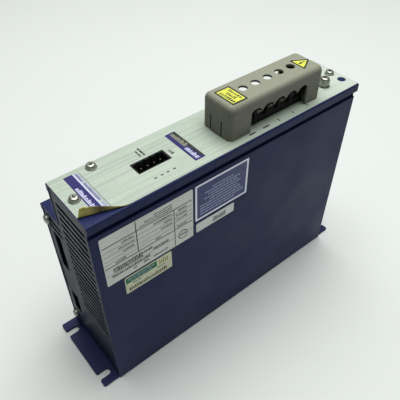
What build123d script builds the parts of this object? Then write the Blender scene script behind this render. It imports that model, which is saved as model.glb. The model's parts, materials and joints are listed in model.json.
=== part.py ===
from build123d import *
import os
from math import cos, hypot, radians, sin

os.makedirs("parts", exist_ok=True)

# A compact panel-mount servo drive lying on its back: the mounting face is the plane Z = 0,
# the connector panel faces up, and the cooling air runs along X from end to end.
# X runs along the long side, Y from the near side sheet to the heat sink side, Z up.
# The origin is the bottom centre of the whole drive. All sizes are in millimetres.

# ------------------------------------------------------------------ driving dimensions
body_length = 245.0         # end wall to end wall
front_width = 47.4          # narrow front part, outside the side sheets
rear_width = 72.0           # wider rear part that holds the heat sink
body_height = 181.7         # mounting face to the painted connector panel
shelf_height = 146.4        # top of the wider rear part

plate_thickness = 2.0       # mounting plate with its flanges
wall_thickness = 1.2        # vented end walls
skin = 1.2                  # side sheets, shelf cover and connector panel
film = 0.3                  # printed films and stickers

flange_length = 14.0        # mounting flange beyond each end of the body
slot_width = 6.0            # open mounting slots for M5 screws
slot_inset = 6.3            # centre of a slot's round end, outside the body
slot_rows = (10.9, 62.3)    # slot centres from the near side

lip_proud = 1.4             # connector panel lips outside the side sheets
lip_gap = 0.2               # between a lip and the sheet it covers
lip_depth = 6.4             # height of the connector panel's turned-down lips
shelf_overhang = 1.5        # shelf lip beyond the far side sheet
shelf_lip_depth = 6.0
ledge_height = 170.2        # near side sheet steps in here, below the panel lip
ledge_step = 1.8            # leaving a shadow groove this deep
wall_recess = 0.4           # end walls set back from the ends of the sheets

m4_radius = 2.0
m4_clearance = 2.2

# ------------------------------------------------------------------ the frame of the drive
left = -body_length / 2
right = body_length / 2
near = lip_proud - (rear_width + shelf_overhang + lip_proud) / 2    # outer face of the near side sheet
step = near + front_width
far = near + rear_width
panel_under = body_height - skin
shelf_under = shelf_height - skin
film_top = body_height + film
inner_left = left + wall_recess + wall_thickness
inner_right = right - wall_recess - wall_thickness


def plane_at_y(y):
    """Vertical plane at one Y: sketch x is X, sketch y is Z, and its normal is -Y."""
    return Plane.XZ.offset(-y)


def plane_at_x(x):
    """Vertical plane at one X: sketch x is Y, sketch y is Z, and its normal is +X."""
    return Plane.YZ.offset(x)


# ------------------------------------------------------------------ mounting plate
plate_near = near + skin
plate_far = far + shelf_overhang
plate_length = body_length + 2 * flange_length
slot_run = 20.0
plate_corner = 1.5
slot_x = body_length / 2 + slot_inset + slot_run / 2

with BuildPart() as mounting_plate:
    with BuildSketch():
        with Locations((0, (plate_near + plate_far) / 2)):
            Rectangle(plate_length, plate_far - plate_near)
        with Locations([(side * slot_x, near + row) for side in (-1, 1) for row in slot_rows]):
            SlotCenterToCenter(slot_run, slot_width, mode=Mode.SUBTRACT)
    extrude(amount=plate_thickness)
    upright = mounting_plate.edges().filter_by(Axis.Z).group_by(Axis.X)
    fillet(upright[0] + upright[-1], radius=plate_corner)
mounting_plate.part.label = "mounting_plate"

# ------------------------------------------------------------------ vented end walls
vent_rows = 18
vent_pitch = 6.4
vent_top = 169.9
vent_width = 3.2
vent_span = (4.3, 40.8)             # from the near side
short_vent_rows = (5, 6)            # rows of the long vents that carry on past the step
short_vent_span = (46.4, 66.0)
window_span = (52.3, 62.9)          # tall openings in front of the heat sink fins
window_heights = ((31.0, 55.0), (88.0, 126.0))
window_corner = 1.5
edge_slot_span = (66.9, 69.0)
edge_slot_heights = (53.0, 88.5)
foot_depth = 12.0                   # tab welded to the mounting plate
foot_end_gap = 8.0                  # from each side of the body to the tab
head_depth = 14.0                   # tab that the connector panel screws into
head_end_gap = 4.0
end_screw_from_near = 66.6
end_screw_heights = (17.0, 135.0)
panel_screw_row = 23.4              # from the near side, at both ends
panel_screw_inset = 6.6             # from each end of the body
wall_bend = 1.1                     # outer bend between a wall and its head tab


def end_wall(side):
    """One end wall. Side is -1 at the left end and 1 at the right end."""
    outer = side * (body_length / 2 - wall_recess)
    front_centre = (near + step) / 2
    with BuildPart() as wall:
        with BuildSketch(plane_at_x(outer)):
            with BuildLine():
                Polyline(
                    (near + skin, plate_thickness),
                    (far - skin, plate_thickness),
                    (far - skin, shelf_under),
                    (step - skin, shelf_under),
                    (step - skin, panel_under),
                    (near + skin, panel_under),
                    close=True,
                )
            make_face()
            span = vent_span[1] - vent_span[0]
            with Locations((near + sum(vent_span) / 2, vent_top - (vent_rows - 1) * vent_pitch / 2)):
                with GridLocations(1, vent_pitch, 1, vent_rows):
                    SlotOverall(span, vent_width, mode=Mode.SUBTRACT)
            short_span = short_vent_span[1] - short_vent_span[0]
            for row in short_vent_rows:
                with Locations((near + sum(short_vent_span) / 2, vent_top - row * vent_pitch)):
                    SlotOverall(short_span, vent_width, mode=Mode.SUBTRACT)
            for low, high in window_heights:
                with Locations((near + sum(window_span) / 2, (low + high) / 2)):
                    width = window_span[1] - window_span[0]
                    RectangleRounded(width, high - low, window_corner, mode=Mode.SUBTRACT)
            with Locations((near + sum(edge_slot_span) / 2, sum(edge_slot_heights) / 2)):
                SlotOverall(
                    edge_slot_heights[1] - edge_slot_heights[0],
                    edge_slot_span[1] - edge_slot_span[0],
                    rotation=90,
                    mode=Mode.SUBTRACT,
                )
            with Locations([(near + end_screw_from_near, z) for z in end_screw_heights]):
                Circle(m4_clearance, mode=Mode.SUBTRACT)
        extrude(amount=-side * wall_thickness)
        with BuildSketch(Plane.XY.offset(plate_thickness)):
            with Locations((outer - side * foot_depth / 2, (near + far) / 2)):
                Rectangle(foot_depth, rear_width - 2 * foot_end_gap)
        extrude(amount=wall_thickness)
        with BuildSketch(Plane.XY.offset(panel_under)):
            with Locations((outer - side * head_depth / 2, front_centre)):
                Rectangle(head_depth, front_width - 2 * head_end_gap)
            with Locations((side * (body_length / 2 - panel_screw_inset), near + panel_screw_row)):
                Circle(m4_clearance, mode=Mode.SUBTRACT)
        extrude(amount=-wall_thickness)
        top_bend = wall.edges().filter_by(Axis.Y).sort_by_distance((outer, front_centre, panel_under))[0]
        fillet(top_bend, radius=wall_bend)
    return wall


left_end_wall = end_wall(-1)
left_end_wall.part.label = "left_end_wall"

right_end_wall = end_wall(1)
right_end_wall.part.label = "right_end_wall"

# ------------------------------------------------------------------ side sheets
sheet_foot = 0.3            # gap under the near side sheet
sheet_corner = 1.0
flange_end_gap = 0.1        # between the inner flange and the end walls
flange_top_gap = 0.2        # between the inner flange and the connector panel
ledge_bend = 0.8            # outer bend along the ledge
flange_inset = wall_recess + wall_thickness + flange_end_gap
flange_near = near + ledge_step
flange_top = panel_under - flange_top_gap

with BuildPart() as near_side_panel:
    with BuildSketch(plane_at_y(near)):
        with Locations((0, (sheet_foot + ledge_height) / 2)):
            RectangleRounded(body_length, ledge_height - sheet_foot, sheet_corner)
    extrude(amount=-skin)
    with BuildSketch(plane_at_x(left + flange_inset)):
        with BuildLine():
            Polyline(
                (near + skin / 2, ledge_height),
                (flange_near, ledge_height),
                (flange_near, flange_top),
                (flange_near + skin, flange_top),
                (flange_near + skin, ledge_height - skin),
                (near + skin / 2, ledge_height - skin),
                close=True,
            )
        make_face()
    extrude(amount=body_length - 2 * flange_inset)
    ledge_edges = near_side_panel.edges().filter_by(Axis.X)
    fillet(ledge_edges.sort_by_distance((0, near, ledge_height))[0], radius=ledge_bend)
near_side_panel.part.label = "near_side_panel"

tab_height = 14.0
tab_reach = 10.0

with BuildPart() as far_side_panel:
    with BuildSketch(plane_at_y(far)):
        with Locations((0, (plate_thickness + shelf_under) / 2)):
            Rectangle(body_length, shelf_under - plate_thickness)
    extrude(amount=skin)
    for inner, toward in ((inner_left, 1), (inner_right, -1)):
        with BuildSketch(plane_at_x(inner)):
            with Locations([(far - skin - tab_reach / 2, z) for z in end_screw_heights]):
                Rectangle(tab_reach, tab_height)
            with Locations([(near + end_screw_from_near, z) for z in end_screw_heights]):
                Circle(m4_clearance, mode=Mode.SUBTRACT)
        extrude(amount=toward * skin)
far_side_panel.part.label = "far_side_panel"

# ------------------------------------------------------------------ stepped shelf cover
head_flange = 9.0
corner_screw_x = left + 29.6        # panel screw at the far edge
corner_screw_y = near + 43.3
shelf_bend = 2.0            # outer bend above the shelf lip
head_notch = head_depth + 2 # cut from the top flange at each end, to clear the wall tabs

with BuildPart() as shelf_cover:
    with BuildSketch(plane_at_x(left)):
        with BuildLine():
            Polyline(
                (step - head_flange, panel_under),
                (step, panel_under),
                (step, shelf_height),
                (far + shelf_overhang, shelf_height),
                (far + shelf_overhang, shelf_height - shelf_lip_depth),
                (far + shelf_overhang - skin, shelf_height - shelf_lip_depth),
                (far + shelf_overhang - skin, shelf_under),
                (step - skin, shelf_under),
                (step - skin, panel_under - skin),
                (step - head_flange, panel_under - skin),
                close=True,
            )
        make_face()
    extrude(amount=body_length)
    bends = shelf_cover.edges().filter_by(Axis.X)
    fillet(bends.sort_by_distance((0, far + shelf_overhang, shelf_height))[0], radius=shelf_bend)
    with BuildSketch(Plane.XY.offset(panel_under)):
        with Locations((corner_screw_x, corner_screw_y)):
            Circle(m4_clearance)
        for inner in (left, right):
            with Locations((inner, step - skin - head_flange / 2)):
                Rectangle(2 * head_notch, head_flange)
    extrude(amount=-2 * skin, mode=Mode.SUBTRACT)
shelf_cover.part.label = "shelf_cover"

# ------------------------------------------------------------------ power terminal positions
pole_count = 5
pole_pitch = 11.6
pole_middle_x = left + 161.3
pole_y = near + 20.5
poles = [pole_middle_x + (index - (pole_count - 1) / 2) * pole_pitch for index in range(pole_count)]

block_length = pole_count * pole_pitch + 2.4
block_width = 17.6
cover_length = 91.0
cover_width = 29.6
cover_height = 26.9
cover_wall = 1.6
cover_x = left + 160.1
cover_y = pole_y
cover_foot_x = cover_length / 2 - cover_wall / 2
tab_width = 9.6
foot_clearance = 0.4
block_opening = (block_length + 0.6, block_width + 0.6)
foot_opening = (cover_wall + 2 * foot_clearance, tab_width + 2 * foot_clearance)

# ------------------------------------------------------------------ connector panel
panel_bend = 1.2            # outer bend along both long edges
header_x = left + 62.3
header_y = near + 23.7
header_length = 26.0
header_width = 11.4
earth_x = left + 221.0
earth_y = near + 14.4
panel_screws_at = [
    (left + panel_screw_inset, near + panel_screw_row),
    (right - panel_screw_inset, near + panel_screw_row),
    (corner_screw_x, corner_screw_y),
]

with BuildPart() as front_panel:
    with BuildSketch(plane_at_x(left)):
        with BuildLine():
            Polyline(
                (near - lip_proud, body_height - lip_depth),
                (near - lip_proud, body_height),
                (step + lip_proud, body_height),
                (step + lip_proud, body_height - lip_depth),
                (step + lip_gap, body_height - lip_depth),
                (step + lip_gap, panel_under),
                (near - lip_gap, panel_under),
                (near - lip_gap, body_height - lip_depth),
                close=True,
            )
        make_face()
    extrude(amount=body_length)
    bends = front_panel.edges().filter_by(Axis.X)
    fillet(bends.group_by(Axis.Z)[-1], radius=panel_bend)
    with BuildSketch(Plane.XY.offset(body_height)):
        with Locations((header_x, header_y)):
            Rectangle(header_length, header_width)
        with Locations((pole_middle_x, pole_y)):
            Rectangle(*block_opening)
        with Locations([(cover_x + side * cover_foot_x, cover_y) for side in (-1, 1)]):
            Rectangle(*foot_opening)
        with Locations(panel_screws_at):
            Circle(m4_clearance)
        with Locations((earth_x, earth_y)):
            Circle(m4_clearance)
    extrude(amount=-skin, mode=Mode.SUBTRACT)
front_panel.part.label = "front_panel"

# ------------------------------------------------------------------ printed front film
peel_x = 30.8               # the near left corner has lifted along a crease between
peel_y = 9.7                # these distances from the corner
film_left = left + 0.4
film_right = right - 0.6
film_near = near - 0.2
film_far = step + 0.8
seat_radius = 3.9
earth_seat_radius = 4.6
bare_dot_x = left + 239.2
bare_dot_y = near + 11.7
bare_dot_radius = 3.4

with BuildPart() as front_film:
    with BuildSketch(Plane.XY.offset(body_height)):
        with BuildLine():
            Polyline(
                (film_left + peel_x, film_near),
                (film_right, film_near),
                (film_right, film_far),
                (film_left, film_far),
                (film_left, film_near + peel_y),
                close=True,
            )
        make_face()
        with Locations((header_x, header_y)):
            Rectangle(header_length, header_width, mode=Mode.SUBTRACT)
        with Locations((pole_middle_x, pole_y)):
            Rectangle(*block_opening, mode=Mode.SUBTRACT)
        with Locations([(cover_x + side * cover_foot_x, cover_y) for side in (-1, 1)]):
            Rectangle(*foot_opening, mode=Mode.SUBTRACT)
        with Locations(panel_screws_at):
            Circle(seat_radius, mode=Mode.SUBTRACT)
        with Locations((earth_x, earth_y)):
            Circle(earth_seat_radius, mode=Mode.SUBTRACT)
        with Locations((bare_dot_x, bare_dot_y)):
            Circle(bare_dot_radius, mode=Mode.SUBTRACT)
    extrude(amount=film)
front_film.part.label = "front_film"

crease_length = hypot(peel_x, peel_y)
crease_plane = Plane(
    origin=(film_left, film_near + peel_y, body_height + 0.05),
    x_dir=(peel_x, -peel_y, 0),
    z_dir=(-peel_y, -peel_x, 0),
)
peel_height = peel_x * peel_y / crease_length
peel_foot = peel_y * peel_y / crease_length

with BuildPart() as lifted_corner:
    with BuildSketch(crease_plane):
        with BuildLine():
            Polyline(
                (0.3, 0),
                (crease_length - 0.6, 0),
                (peel_foot + 2.4, peel_height - 0.7),
                (peel_foot - 0.6, peel_height - 0.2),
                close=True,
            )
        make_face()
    extrude(amount=film)
lifted_corner.part.label = "lifted_corner"

# ------------------------------------------------------------------ screws and washers
panel_head = (3.3, 2.3)     # radius and height of each kind of screw head
end_head = (3.7, 2.8)
earth_head = (3.7, 2.6)
terminal_head = (3.6, 2.4)
small_head = (2.8, 1.9)
washer_radius = 3.75
washer_thickness = 0.9
panel_washer_chamfer = 0.25
flat_share = 0.5            # flat top of a pan head, as a share of its radius
shoulder_share = 0.82       # widest point of the domed part, as a share of its radius
side_share = 0.45           # top of the upright side, as a share of the head's height
dome_share = 0.86           # height of the dome at the shoulder, as a share of the head's height
cross_share = 0.92          # length of the cross recess, as a share of the head's radius
recess_share = 0.5          # depth of the cross recess, as a share of the head's height


def pan_screw(head, shank_radius, shank_length):
    """Cross-recess pan head screw, seated on Z = 0 with its shank below."""
    radius, height = head
    flat_top = radius * flat_share
    side_height = height * side_share
    shoulder = (radius * shoulder_share, height * dome_share)
    cross_length = radius * cross_share
    cross_width = cross_length / 4
    with BuildPart() as screw:
        with BuildSketch(Plane.XZ):
            with BuildLine():
                Line((0, 0), (radius, 0))
                Line((radius, 0), (radius, side_height))
                ThreePointArc((radius, side_height), shoulder, (flat_top, height))
                Line((flat_top, height), (0, height))
                Line((0, height), (0, 0))
            make_face()
        revolve(axis=Axis.Z)
        with BuildSketch(Plane.XY):
            Circle(shank_radius)
        extrude(amount=-shank_length)
        with BuildSketch(Plane.XY.offset(height)):
            Rectangle(cross_length, cross_width)
            Rectangle(cross_width, cross_length)
        extrude(amount=-height * recess_share, mode=Mode.SUBTRACT)
    return screw.part


panel_screw = pan_screw(panel_head, m4_radius, shank_length=6.5)
with BuildPart() as panel_screws:
    with Locations([(x, y, body_height + washer_thickness) for x, y in panel_screws_at]):
        add(panel_screw)
panel_screws.part.label = "panel_screws"

with BuildPart() as panel_washers:
    with BuildSketch(Plane.XY.offset(body_height)):
        with Locations(panel_screws_at):
            Circle(washer_radius)
            Circle(m4_clearance, mode=Mode.SUBTRACT)
    extrude(amount=washer_thickness)
    chamfer(panel_washers.edges().group_by(Axis.Z)[-1], length=panel_washer_chamfer)
panel_washers.part.label = "panel_washers"

end_screw = pan_screw(end_head, m4_radius, shank_length=7.0)
with BuildPart() as end_screws:
    for outer, turn in ((left + wall_recess, -90), (right - wall_recess, 90)):
        for height in end_screw_heights:
            with Locations(Location((outer, near + end_screw_from_near, height), (0, turn, 0))):
                add(end_screw)
end_screws.part.label = "end_screws"

# ------------------------------------------------------------------ earth stud stack
nut_size = 7.0
nut_height = 3.2
tooth_washer_radius = 4.3
tooth_washer_thickness = 0.8
cup_washer_radius = 4.1
cup_washer_thickness = 1.0
tooth_count = 16
tooth_notch = 0.45
nut_chamfer = 0.35
stack_nut = body_height + tooth_washer_thickness
stack_cup = stack_nut + nut_height
stack_head = stack_cup + cup_washer_thickness

with BuildPart() as earth_washers:
    with BuildSketch(Plane.XY.offset(body_height)):
        with Locations((earth_x, earth_y)):
            Circle(tooth_washer_radius)
            with PolarLocations(tooth_washer_radius, tooth_count):
                RegularPolygon(tooth_notch, 4, mode=Mode.SUBTRACT)
            Circle(m4_clearance, mode=Mode.SUBTRACT)
    extrude(amount=tooth_washer_thickness)
    with BuildSketch(Plane.XY.offset(stack_cup)):
        with Locations((earth_x, earth_y)):
            Circle(cup_washer_radius)
            Circle(m4_clearance, mode=Mode.SUBTRACT)
    extrude(amount=cup_washer_thickness)
earth_washers.part.label = "earth_washers"

with BuildPart() as earth_nut:
    with BuildSketch(Plane.XY.offset(stack_nut)):
        with Locations((earth_x, earth_y)):
            RegularPolygon(nut_size / 2, 6, major_radius=False)
            Circle(m4_clearance, mode=Mode.SUBTRACT)
    extrude(amount=nut_height)
    chamfer(earth_nut.edges().filter_by(GeomType.LINE).group_by(Axis.Z)[-1], length=nut_chamfer)
earth_nut.part.label = "earth_nut"

earth_screw_solid = pan_screw(earth_head, m4_radius, shank_length=12.0)
with BuildPart() as earth_screw:
    with Locations((earth_x, earth_y, stack_head)):
        add(earth_screw_solid)
earth_screw.part.label = "earth_screw"

# ------------------------------------------------------------------ four-way plug header
header_wall = 1.0
header_depth = 11.0
header_floor = 2.0
header_fit = 0.3                # how much smaller the housing is than its opening
header_size = (header_length - header_fit, header_width - header_fit)
header_top = body_height - 0.1
socket_size = (header_size[0] - 2 * header_wall, header_size[1] - 2 * header_wall)
key_size = (1.8, 1.0)           # notch in the far wall of the socket, one for each pin
pin_count = 4
pin_pitch = 5.08
pin_size = 0.9
pin_offset = 0.4                # pin row beyond the middle of the socket, for the plug's latch
pin_below = 1.6                 # pin tips below the panel face
pin_chamfer = 0.25
board_top = 167.6               # top face of the board behind the connector panel

with BuildPart() as header_housing:
    with BuildSketch(Plane.XY.offset(header_top)):
        with Locations((header_x, header_y)):
            Rectangle(*header_size)
    extrude(amount=-(header_top - board_top))
    with BuildSketch(Plane.XY.offset(header_top)):
        with Locations((header_x, header_y)):
            Rectangle(*socket_size)
    extrude(amount=-(header_depth - header_floor), mode=Mode.SUBTRACT)
    with BuildSketch(Plane.XY.offset(header_top)):
        with Locations((header_x, header_y)):
            with GridLocations(pin_pitch, 1, pin_count, 1):
                with Locations((0, socket_size[1] / 2)):
                    Rectangle(*key_size)
    extrude(amount=-(header_depth - header_floor), mode=Mode.SUBTRACT)
    with BuildSketch(Plane.XY.offset(board_top)):
        with Locations((header_x, header_y + pin_offset)):
            with GridLocations(pin_pitch, 1, pin_count, 1):
                Rectangle(pin_size, pin_size)
    extrude(amount=body_height - board_top, mode=Mode.SUBTRACT)
header_housing.part.label = "header_housing"

with BuildPart() as header_pins:
    with BuildSketch(Plane.XY.offset(board_top)):
        with Locations((header_x, header_y + pin_offset)):
            with GridLocations(pin_pitch, 1, pin_count, 1):
                Rectangle(pin_size, pin_size)
    extrude(amount=body_height - pin_below - board_top)
    chamfer(header_pins.edges().group_by(Axis.Z)[-1], length=pin_chamfer)
header_pins.part.label = "header_pins"

# ------------------------------------------------------------------ power terminal block
deck_height = 4.6               # above the panel face
barrier_height = 11.4
barrier_thickness = 2.0
barrier_round = 1.2
screw_well = 12.0               # depth of the screw holes below the deck
plate_width = pole_pitch - barrier_thickness - 0.6
plate_depth = 13.0
plate_metal = 1.0
plate_lip = 1.2                 # upturned edges of each clamp plate
seat_gap = 0.05                 # between a screw head and its plate
deck = body_height + deck_height
terminal_screw_radius = 1.9

with BuildPart() as terminal_block:
    with BuildSketch(Plane.XY.offset(board_top)):
        with Locations((pole_middle_x, pole_y)):
            Rectangle(block_length, block_width)
    extrude(amount=deck - board_top)
    with BuildSketch(Plane.XY.offset(deck)):
        with Locations((pole_middle_x, pole_y)):
            with GridLocations(pole_pitch, 1, pole_count + 1, 1):
                Rectangle(barrier_thickness, block_width)
    extrude(amount=barrier_height - deck_height)
    fillet(terminal_block.edges().filter_by(Axis.X).group_by(Axis.Z)[-1], radius=barrier_round)
    with BuildSketch(Plane.XY.offset(deck)):
        with Locations([(x, pole_y) for x in poles]):
            Circle(m4_clearance)
    extrude(amount=-screw_well, mode=Mode.SUBTRACT)
terminal_block.part.label = "terminal_block"

with BuildPart() as terminal_plates:
    with BuildSketch(Plane.XY.offset(deck)):
        with Locations([(x, pole_y) for x in poles]):
            Rectangle(plate_width, plate_depth)
            Circle(m4_clearance, mode=Mode.SUBTRACT)
    extrude(amount=plate_metal)
    for end in (-1, 1):
        with BuildSketch(Plane.XY.offset(deck + plate_metal)):
            with Locations([(x, pole_y + end * (plate_depth - plate_metal) / 2) for x in poles]):
                Rectangle(plate_width, plate_metal)
        extrude(amount=plate_lip)
terminal_plates.part.label = "terminal_plates"

terminal_screw_solid = pan_screw(terminal_head, terminal_screw_radius, shank_length=10.0)
terminal_screws = []
for number, pole_x in enumerate(poles, start=1):
    with BuildPart() as terminal_screw:
        with Locations((pole_x, pole_y, deck + plate_metal + seat_gap)):
            add(terminal_screw_solid)
    terminal_screw.part.label = f"terminal_screw_{number}"
    terminal_screws.append(terminal_screw)

# ------------------------------------------------------------------ lift-off terminal cover
cover_gap = 0.1                 # between the cover's rim and the film
cover_base = film_top + cover_gap
cover_top = body_height + cover_height
cover_corner = 5.0
cover_inner_corner = 2.0
cover_end_round = 4.4
driver_hole_radius = 3.4
arch_radius = 6.36
arch_centre = 11.75             # above the panel face
arch_spring = 14.4              # where neighbouring arches meet
opening_length = 55.6
groove_width = 1.3
groove_height = 12.2
foot_below = 3.2                # locating feet below the film

with BuildPart() as terminal_cover:
    with BuildSketch(plane_at_x(cover_x - cover_length / 2)):
        with BuildLine():
            Polyline(
                (cover_y - cover_width / 2, cover_base),
                (cover_y - cover_width / 2, cover_top),
                (cover_y + cover_width / 2, cover_top),
                (cover_y + cover_width / 2, cover_base),
                close=True,
            )
        outline = make_face()
        fillet(outline.vertices().group_by(Axis.Y)[-1], radius=cover_corner)
    extrude(amount=cover_length)
    ends = terminal_cover.faces().filter_by(Axis.X).edges()
    fillet(ends.filter_by(lambda edge: edge.center().Z > cover_base + 0.1), radius=cover_end_round)
    with BuildSketch(Plane.XY.offset(cover_base)):
        with Locations((cover_x, cover_y)):
            RectangleRounded(
                cover_length - 2 * cover_wall, cover_width - 2 * cover_wall, cover_inner_corner
            )
    extrude(amount=cover_top - cover_wall - cover_base, mode=Mode.SUBTRACT)
    with BuildSketch(plane_at_y(cover_y - cover_width)):
        with Locations([(x, body_height + arch_centre) for x in poles]):
            Circle(arch_radius)
        with Locations((pole_middle_x, body_height + arch_spring / 2)):
            Rectangle(opening_length, arch_spring)
        with Locations((pole_middle_x, body_height + cover_height / 2)):
            Rectangle(opening_length, cover_height, mode=Mode.INTERSECT)
    extrude(amount=-2 * cover_width, mode=Mode.SUBTRACT)
    with BuildSketch(Plane.XY.offset(cover_top)):
        with Locations([(x, pole_y) for x in poles]):
            Circle(driver_hole_radius)
    extrude(amount=-cover_wall - 1, mode=Mode.SUBTRACT)
    with BuildSketch(plane_at_x(cover_x - cover_length)):
        with Locations((cover_y, cover_base + groove_height / 2)):
            with GridLocations(tab_width + groove_width, 1, 2, 1):
                Rectangle(groove_width, groove_height)
    extrude(amount=2 * cover_length, mode=Mode.SUBTRACT)
    with BuildSketch(Plane.XY.offset(cover_base)):
        with Locations([(cover_x + side * cover_foot_x, cover_y) for side in (-1, 1)]):
            Rectangle(cover_wall, tab_width)
    extrude(amount=-foot_below)
terminal_cover.part.label = "terminal_cover"

warning_size = (13.6, 19.4)
label_corner = 0.8
warning_x = cover_x - cover_length / 2 + 11.0
hazard_radius = 9.0
hazard_x = cover_x + cover_length / 2 - 11.6
label_y = cover_y - 1.6     # both labels lie slightly nearer than the holes

with BuildPart() as cover_warning_label:
    with BuildSketch(Plane.XY.offset(cover_top)):
        with Locations((warning_x, label_y)):
            RectangleRounded(*warning_size, label_corner)
    extrude(amount=film)
cover_warning_label.part.label = "cover_warning_label"

with BuildPart() as cover_hazard_label:
    with BuildSketch(Plane.XY.offset(cover_top)):
        with Locations((hazard_x, label_y)):
            triangle = RegularPolygon(hazard_radius, 3)
        fillet(triangle.vertices(), radius=label_corner)
    extrude(amount=film)
cover_hazard_label.part.label = "cover_hazard_label"

# ------------------------------------------------------------------ stickers on the near side
side_stickers = {
    "rating_label": (6.0, 77.6, 120.5, 166.1),
    "caution_label": (79.5, 128.5, 133.1, 166.6),
    "serial_sticker": (80.4, 116.5, 121.2, 129.9),
    "inspection_sticker": (18.5, 57.7, 101.3, 118.4),
}
sticker_corner = 1.0
stickers = []
for sticker_name, (start, end, low, high) in side_stickers.items():
    with BuildPart() as sticker:
        with BuildSketch(plane_at_y(near)):
            with Locations((left + (start + end) / 2, (low + high) / 2)):
                RectangleRounded(end - start, high - low, sticker_corner)
        extrude(amount=film)
    sticker.part.label = sticker_name
    stickers.append(sticker)

# ------------------------------------------------------------------ heat sink and power parts
sink_base_near = near + 46.0
sink_base = 5.0
fin_reach = 18.0
fin_thickness = 1.8
fin_count = 15
fin_pitch = 9.5
sink_low = 6.0
sink_high = 142.0
sink_middle = (sink_low + sink_high) / 2
sink_length = body_length - 16.0

m3_radius = 1.5
m3_clearance = 1.75
board_thickness = 1.6
power_board_near = near + 36.2
power_board_far = power_board_near + board_thickness
control_board_near = near + 6.0
control_board_far = control_board_near + board_thickness

module_x = -1.0
module_z = 72.0
module_length = 78.0
module_height = 44.0
module_ear = 7.0            # thin ends that take the screws
ear_thickness = 4.0
module_thickness = 8.0
module_corner = 2.0
bridge_size = 30.0
bridge_thickness = 8.0
module_screw_x = (module_x - module_length / 2 + 3.5, module_x + module_length / 2 - 3.5)
bridge_x = 64.0
bridge_z = 66.0

board_post_x = (-104.0, 86.0)
board_post_z = (31.0, 136.0)
board_posts = [(x, z) for x in board_post_x for z in board_post_z]
bracket_x = (-84.0, 70.0)
bracket_width = 20.0
bracket_thickness = 1.6
bracket_foot = 9.2
bracket_height = 18.0
fin_root = 1.0              # how far a fin runs into the base
sink_hole_depth = 4.0

with BuildPart() as heat_sink:
    with BuildSketch(plane_at_x(-sink_length / 2)):
        with Locations((sink_base_near + sink_base / 2, sink_middle)):
            Rectangle(sink_base, sink_high - sink_low)
        with Locations((sink_base_near + sink_base + (fin_reach - fin_root) / 2, sink_middle)):
            with GridLocations(1, fin_pitch, 1, fin_count):
                Rectangle(fin_reach + fin_root, fin_thickness)
    extrude(amount=sink_length)
    with BuildSketch(plane_at_y(sink_base_near)):
        with Locations([(x, module_z) for x in module_screw_x] + board_posts):
            Circle(m3_clearance)
    extrude(amount=-sink_hole_depth, mode=Mode.SUBTRACT)
heat_sink.part.label = "heat_sink"

with BuildPart() as heat_sink_brackets:
    with BuildSketch(Plane.XY.offset(plate_thickness)):
        with Locations([(x, sink_base_near - bracket_thickness - 3.0) for x in bracket_x]):
            Rectangle(bracket_width, bracket_foot)
    extrude(amount=bracket_thickness)
    with BuildSketch(Plane.XY.offset(plate_thickness)):
        with Locations([(x, sink_base_near - bracket_thickness / 2) for x in bracket_x]):
            Rectangle(bracket_width, bracket_thickness)
    extrude(amount=bracket_height)
heat_sink_brackets.part.label = "heat_sink_brackets"

with BuildPart() as power_module:
    with BuildSketch(plane_at_y(sink_base_near)):
        with Locations((module_x, module_z)):
            RectangleRounded(module_length, module_height, module_corner)
        with Locations([(x, module_z) for x in module_screw_x]):
            Circle(m3_clearance, mode=Mode.SUBTRACT)
    extrude(amount=ear_thickness)
    with BuildSketch(plane_at_y(sink_base_near - ear_thickness)):
        with Locations((module_x, module_z)):
            RectangleRounded(module_length - 2 * module_ear, module_height, module_corner)
    extrude(amount=module_thickness - ear_thickness)
power_module.part.label = "power_module"

with BuildPart() as rectifier_bridge:
    with BuildSketch(plane_at_y(sink_base_near)):
        with Locations((bridge_x, bridge_z)):
            RectangleRounded(bridge_size, bridge_size, module_corner)
    extrude(amount=bridge_thickness)
rectifier_bridge.part.label = "rectifier_bridge"

module_screw = pan_screw(small_head, m3_radius, shank_length=7.5)
with BuildPart() as module_screws:
    for x in module_screw_x:
        with Locations(Location((x, sink_base_near - ear_thickness, module_z), (90, 0, 0))):
            add(module_screw)
module_screws.part.label = "module_screws"

# ------------------------------------------------------------------ circuit boards and their posts
board_left = left + 12.0
board_right = right - 30.0


def board(near_face, low, high):
    """Upright circuit board with a hole at each post."""
    with BuildPart() as sheet:
        with BuildSketch(plane_at_y(near_face)):
            with Locations(((board_left + board_right) / 2, (low + high) / 2)):
                RectangleRounded(board_right - board_left, high - low, 1.5)
            with Locations(board_posts):
                Circle(m3_clearance, mode=Mode.SUBTRACT)
        extrude(amount=-board_thickness)
    return sheet


power_board = board(power_board_near, 24.0, 150.0)
power_board.part.label = "power_board"

control_board = board(control_board_near, 14.0, 158.0)
control_board.part.label = "control_board"

with BuildPart() as board_standoffs:
    for near_face, far_face in (
        (control_board_far, power_board_near),
        (power_board_far, sink_base_near),
    ):
        with BuildSketch(plane_at_y(near_face)):
            with Locations(board_posts):
                RegularPolygon(3.0, 6, major_radius=False)
                Circle(m3_clearance, mode=Mode.SUBTRACT)
        extrude(amount=near_face - far_face)
board_standoffs.part.label = "board_standoffs"

board_screw = pan_screw(small_head, m3_radius, shank_length=7.0)
with BuildPart() as board_screws:
    for x, z in board_posts:
        with Locations(Location((x, control_board_near, z), (90, 0, 0))):
            add(board_screw)
board_screws.part.label = "board_screws"

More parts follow.
